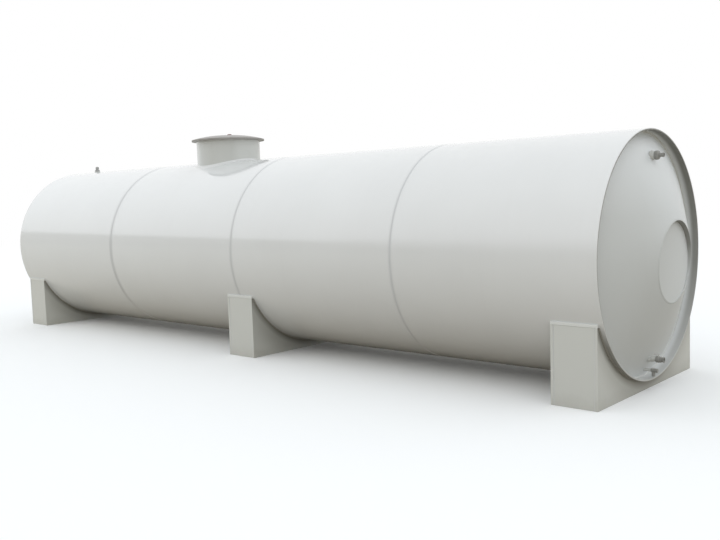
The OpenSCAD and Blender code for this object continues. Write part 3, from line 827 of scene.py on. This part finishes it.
low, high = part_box("vent_socket")
vent_x = (low.x + high.x) / 2
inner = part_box("vent_pipe")[1].y
hand_in(eased("vent_socket", "vent_socket_ring", pale_plastic, 0.003), "pipe_pale", "vent_socket")
hand_in(eased("vent_pipe", "vent_pipe_tube", pale_plastic, 0.001), "pipe_pale", "vent_pipe")
low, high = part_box("vent_collar")
r, h = (high.x - low.x) / 2, high.z - low.z
profile = [(0, inner), (0, r * 0.97), (h * 0.2, r), (h * 0.75, r), (h, r * 0.88), (h, inner)]
piece = turned("vent_union", vent_plastic, Vector((vent_x, 0, low.z)), up,
               softened(profile, 0.003, ring=True), steps=12, ring=True)
hand_in(piece, "fitting_dark", "vent_collar")
low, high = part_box("vent_cap")
r, h = (high.x - low.x) / 2, high.z - low.z
profile = [(0, 0), (0, r * 0.86), (h * 0.25, r * 0.86), (h * 0.3, r), (h * 0.72, r), (h * 0.92, r * 0.86),
           (h, r * 0.5), (h, 0)]
piece = turned("vent_top", vent_plastic, Vector((vent_x, 0, low.z)), up, softened(profile, 0.003), steps=48)
hand_in(piece, "fitting_dark", "vent_cap")

# ---------------------------------------------------------------------------
# The upper nozzle comes out of the near end above the middle: a pale pipe in a welded
# socket, with a dark ribbed union nut and a waisted tail.
dark_tone = (0.30, 0.297, 0.28)
out = Vector((1, 0, 0))
socket_wall = 0.005
pipe_wall = 0.006
tail_bore = 0.012

dark_plastic = moulded_plastic("dark_fitting_plastic", dark_tone, 0.40, 0.45)


def cone_face(height):
    """Where a level line at this height, on the tank's middle plane, comes out of the end cone."""
    return lip_start + (bore_radius - abs(height - axis_z)) * cone_slope


def socketed_pipe(node, name, proud, wall):
    """A pipe out of the end cone, with a short socket round it where it is welded in."""
    low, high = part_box(node)
    height, r = (low.z + high.z) / 2, high.y
    face = cone_face(height) - low.x
    length = high.x - low.x
    profile = [(0, r - wall), (0, r), (face - 0.004, r), (face - 0.004, r + proud),
               (face + 0.6 * (length - face), r + proud), (face + 0.72 * (length - face), r), (length, r),
               (length, r - wall)]
    piece = turned(name, pale_plastic, Vector((low.x, 0, height)), out, softened(profile, 0.0015, ring=True),
                   ring=True)
    hand_in(piece, "pipe_pale", node)
    piece = ring_bead.make(name + "_weld", pale_bead_plastic, middle=cone_face(height) + 0.003,
                           height_above_floor=height, radius=r + proud, width=0.009, height=0.007,
                           ripple_pitch=0.008, steps=120)
    hand_in(piece, "end_sheet")


socketed_pipe("upper_nozzle_pipe", "upper_nozzle_tube", socket_wall, pipe_wall)
low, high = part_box("upper_nozzle_nut")
nozzle_z = (low.z + high.z) / 2
r, l = (high.z - low.z) / 2, high.x - low.x
tail_low, tail_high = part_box("upper_nozzle_tail")
tail_r, tail_l = (tail_high.z - tail_low.z) / 2, tail_high.x - tail_low.x
profile = [(0, tail_bore), (0, r * 0.94), (l * 0.12, r * 0.96), (l * 0.7, r * 0.96), (l * 0.86, r * 0.9),
           (l, r * 0.62), (l, tail_bore)]
piece = turned("upper_union_nut", dark_plastic, Vector((low.x, 0, nozzle_z)), out,
               softened(profile, 0.003, ring=True), ring=True)
hand_in(piece, "fitting_dark", "upper_nozzle_nut")
profile = [(0, tail_bore), (0, tail_r * 0.95), (tail_l * 0.2, tail_r * 0.86), (tail_l * 0.5, tail_r * 0.84),
           (tail_l * 0.72, tail_r), (tail_l, tail_r), (tail_l, tail_bore)]
piece = turned("upper_tail", dark_plastic, Vector((tail_low.x, 0, nozzle_z)), out,
               softened(profile, 0.002, ring=True), ring=True)
hand_in(piece, "fitting_dark", "upper_nozzle_tail")

grip = Recipe("grip_ribs", count=16, begin=0.0, length=0.03, radius=0.04, rib=0.004,
              height_above_floor=1.0)
size = grip.given
spots = grip.add("CurvePrimitiveCircle", Resolution=size["count"], Radius=size["radius"])
spots = grip.add("Transform", Geometry=spots.outputs[0], Rotation=(0.0, math.pi / 2, 0.0))
spots = grip.add("CurveToPoints", mode="EVALUATED", Curve=spots.outputs[0])
rib = grip.add("CurvePrimitiveLine", Start=(0.0, 0.0, 0.0), End=grip.point(size["length"]))
rib = grip.add("ResampleCurve", Curve=rib.outputs[0], Count=7)
bar = grip.add("CurvePrimitiveCircle", Resolution=8, Radius=grip.sum("MULTIPLY", size["rib"], 0.5))
from_middle = grip.sum("ABSOLUTE", grip.sum("MULTIPLY_ADD", grip.add("SplineParameter").outputs["Factor"],
                                            2.0, -1.0))
taper = grip.sum("MAXIMUM", grip.sum("SUBTRACT", 1.0, grip.sum("POWER", from_middle, 4.0)), 0.35)
rib = grip.add("CurveToMesh", Curve=rib.outputs[0], Profile_Curve=bar.outputs[0], Fill_Caps=True,
               Scale=taper)
placed = grip.add("InstanceOnPoints", Points=spots.outputs["Points"], Instance=rib.outputs[0])
placed = grip.add("Transform", Geometry=placed.outputs[0],
                  Translation=grip.point(size["begin"], 0.0, size["height_above_floor"]))
grip.close(placed.outputs[0])
piece = grip.make("upper_nut_ribs", dark_plastic, count=18, begin=low.x + l * 0.1, length=l * 0.62,
                  radius=r * 0.945, rib=r * 0.1, height_above_floor=nozzle_z)
hand_in(piece, "fitting_dark")

# ---------------------------------------------------------------------------
# The outlet is low on the near end: a pale pipe, a dark ball valve with two union nuts
# and a flared outlet, and a flat pale lever that lies along the pipe.
socketed_pipe("lower_valve_pipe", "lower_valve_tube", 0.003, 0.004)
low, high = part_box("lower_valve_body")
valve_z = (low.z + high.z) / 2
r, l = (high.z - low.z) / 2, high.x - low.x
profile = [(0, 0), (0, r * 0.86), (l * 0.05, r * 0.96), (l * 0.26, r * 0.96), (l * 0.31, r * 0.84),
           (l * 0.36, r * 0.84), (l * 0.46, r), (l * 0.6, r), (l * 0.7, r * 0.84), (l * 0.75, r * 0.84),
           (l * 0.8, r * 0.94), (l * 0.95, r * 0.94), (l, r * 0.84), (l, 0)]
piece = turned("lower_valve_housing", dark_plastic, Vector((low.x, 0, valve_z)), out,
               softened(profile, 0.0015))
hand_in(piece, "fitting_dark", "lower_valve_body")
piece = grip.make("lower_valve_ribs", dark_plastic, count=16, begin=low.x + l * 0.04, length=l * 0.23,
                  radius=r * 0.945, rib=r * 0.09, height_above_floor=valve_z)
hand_in(piece, "fitting_dark")
low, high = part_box("lower_valve_outlet")
r, l = (high.z - low.z) / 2, high.x - low.x
bore = r * 0.62
profile = [(0, bore), (0, r * 0.80), (l * 0.3, r * 0.78), (l * 0.75, r * 0.96), (l, r), (l, bore)]
piece = turned("lower_outlet_flare", dark_plastic, Vector((low.x, 0, valve_z)), out,
               softened(profile, 0.0015, ring=True), ring=True)
hand_in(piece, "fitting_dark", "lower_valve_outlet")
hand_in(eased("lower_valve_lever", "lower_valve_handle", pale_plastic, 0.0015), "pipe_pale",
        "lower_valve_lever")

# ---------------------------------------------------------------------------
# The drain is at the bottom of the near end: a thin pale pipe with a dark elbow whose
# spout points at the floor and whose outer end is closed by a round plug.
hand_in(eased("drain_pipe", "drain_tube", pale_plastic, 0.001), "pipe_pale", "drain_pipe")
hand_in(eased("drain_elbow", "drain_elbow_moulding", dark_plastic, 0.003), "fitting_dark", "drain_elbow")
low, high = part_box("drain_pipe")
drain_z = (low.z + high.z) / 2
piece = ring_bead.make("drain_weld", pale_bead_plastic, middle=cone_face(drain_z) + 0.002,
                       height_above_floor=drain_z, radius=high.y, width=0.007, height=0.006,
                       ripple_pitch=0.006, steps=80)
hand_in(piece, "end_sheet")
